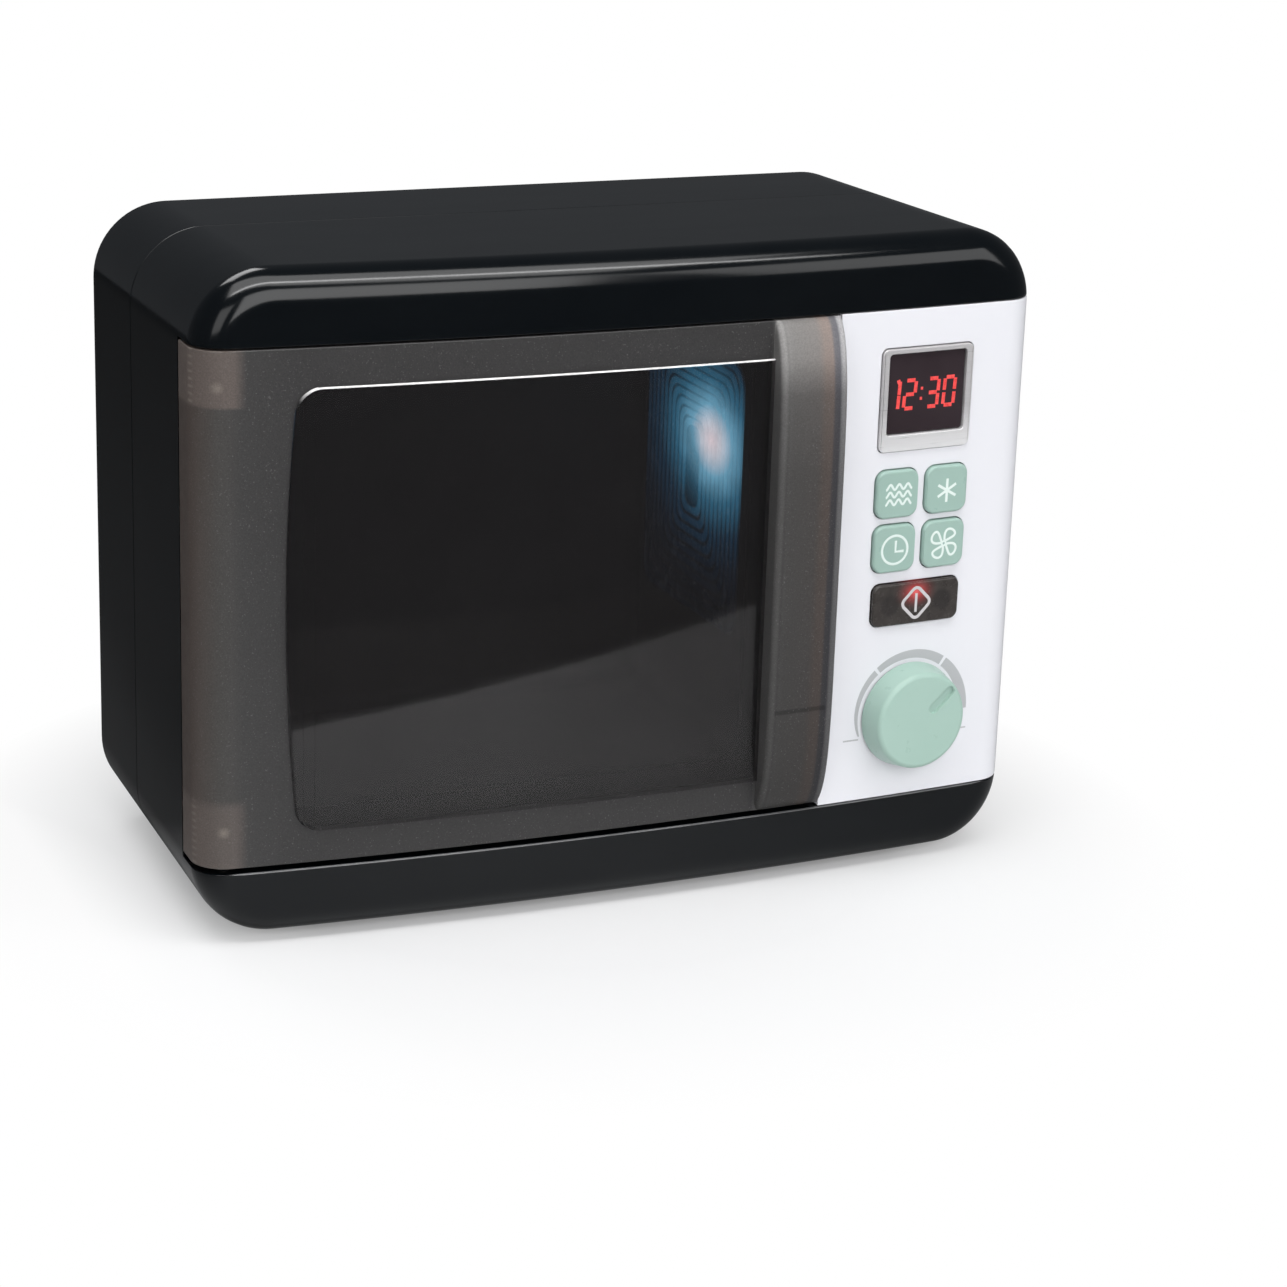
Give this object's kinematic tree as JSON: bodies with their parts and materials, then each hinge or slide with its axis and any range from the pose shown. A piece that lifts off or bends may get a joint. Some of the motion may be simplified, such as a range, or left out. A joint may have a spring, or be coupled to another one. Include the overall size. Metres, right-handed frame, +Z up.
{
  "type": "toy microwave oven",
  "caption": "Toy microwave oven with a wrap-around hinged door, oven cavity, push buttons, a lit start button, a display and a clicking timer knob.",
  "frame": {"origin": "middle of the base of the bounding box, on the surface that the feet stand on", "axes": "+X to the right as seen from the front, -Y towards the user in front of the door, +Z up"},
  "size_m": [0.3016, 0.151, 0.2275],
  "materials": {
    "gloss_black_plastic": "polished black moulded plastic",
    "inner_grey_plastic": "plain dark grey plastic",
    "clear_plastic": "clear plastic with a blue tint",
    "smoke_translucent_plastic": "smoky translucent plastic with a fine matt texture and a polished pane",
    "steel": "plain bright steel",
    "white_plastic": "satin white moulded plastic",
    "silver_plastic": "silver painted plastic",
    "dark_lens": "polished near-black lens",
    "mint_plastic": "satin mint green moulded plastic",
    "ruby_smoke_lens": "polished dark red translucent plastic",
    "board_green": "green coated board",
    "grey_rubber": "matt grey rubber",
    "battery_wire_red_insulation": "soft wire insulation",
    "speaker_wire_red_insulation": "soft wire insulation",
    "battery_wire_black_insulation": "soft wire insulation",
    "speaker_wire_black_insulation": "soft wire insulation"
  },
  "bodies": {
    "housing": {"front_shell": "gloss_black_plastic", "rear_shell": "gloss_black_plastic", "cavity_liner": "inner_grey_plastic", "lamp_lens": "clear_plastic", "lamp_led": "clear_plastic", "upper_hinge_pin": "steel", "lower_hinge_pin": "steel", "door_catch": "steel", "control_panel": "white_plastic", "display_bezel": "silver_plastic", "display_window": "dark_lens", "click_spring": "steel", "circuit_board": "board_green", "button_mat": "grey_rubber", "display_module": "dark_lens", "start_led": "ruby_smoke_lens", "battery_box": "inner_grey_plastic", "battery_1": "silver_plastic", "battery_2": "silver_plastic", "battery_3": "silver_plastic", "nub_contact_1": "steel", "nub_contact_2": "steel", "nub_contact_3": "steel", "base_contact_1": "steel", "base_contact_2": "steel", "base_contact_3": "steel", "battery_cover": "gloss_black_plastic", "cover_screw_1": "steel", "speaker": "inner_grey_plastic", "battery_wire_red": "battery_wire_red_insulation", "speaker_wire_red": "speaker_wire_red_insulation", "battery_wire_black": "battery_wire_black_insulation", "speaker_wire_black": "speaker_wire_black_insulation", "housing_screw_1": "steel", "housing_screw_2": "steel", "housing_screw_3": "steel", "housing_screw_4": "steel", "panel_screw_1": "steel", "panel_screw_2": "steel", "panel_screw_3": "steel", "panel_screw_4": "steel", "board_screw_1": "steel", "board_screw_2": "steel", "board_screw_3": "steel", "board_screw_4": "steel", "front_left_foot": "grey_rubber", "front_right_foot": "grey_rubber", "rear_left_foot": "grey_rubber", "rear_right_foot": "grey_rubber"},
    "door": {"door": "smoke_translucent_plastic"},
    "knob": {"knob": "mint_plastic", "knob_collar": "silver_plastic", "knob_screw": "steel"},
    "grill_button": {"grill_button": "mint_plastic"},
    "defrost_button": {"defrost_button": "mint_plastic"},
    "clock_button": {"clock_button": "mint_plastic"},
    "fan_button": {"fan_button": "mint_plastic"},
    "start_button": {"start_button": "ruby_smoke_lens"}
  },
  "joints": [
    {"name": "door_hinge", "type": "hinge", "parent": "housing", "child": "door", "pos_m": [-0.1398, -0.04995, 0.1148], "axis": [0, 0, -1], "range_deg": [0, 100]},
    {"name": "knob_turn", "type": "hinge", "parent": "housing", "child": "knob", "pos_m": [0.107, -0.06359, 0.0569], "axis": [0.0684, -0.9977, 0], "range_deg": [-61, 156]},
    {"name": "grill_press", "type": "slide", "parent": "housing", "child": "grill_button", "axis": [0, 1, 0], "range_m": [0, 0.0015], "stiffness_N_per_m": 400, "springref_m": -0.0005},
    {"name": "defrost_press", "type": "slide", "parent": "housing", "child": "defrost_button", "axis": [0, 1, 0], "range_m": [0, 0.0015], "stiffness_N_per_m": 400, "springref_m": -0.0005},
    {"name": "clock_press", "type": "slide", "parent": "housing", "child": "clock_button", "axis": [0, 1, 0], "range_m": [0, 0.0015], "stiffness_N_per_m": 400, "springref_m": -0.0005},
    {"name": "fan_press", "type": "slide", "parent": "housing", "child": "fan_button", "axis": [0, 1, 0], "range_m": [0, 0.0015], "stiffness_N_per_m": 400, "springref_m": -0.0005},
    {"name": "start_press", "type": "slide", "parent": "housing", "child": "start_button", "axis": [0, 1, 0], "range_m": [0, 0.0015], "stiffness_N_per_m": 600, "springref_m": -0.0005}
  ]
}
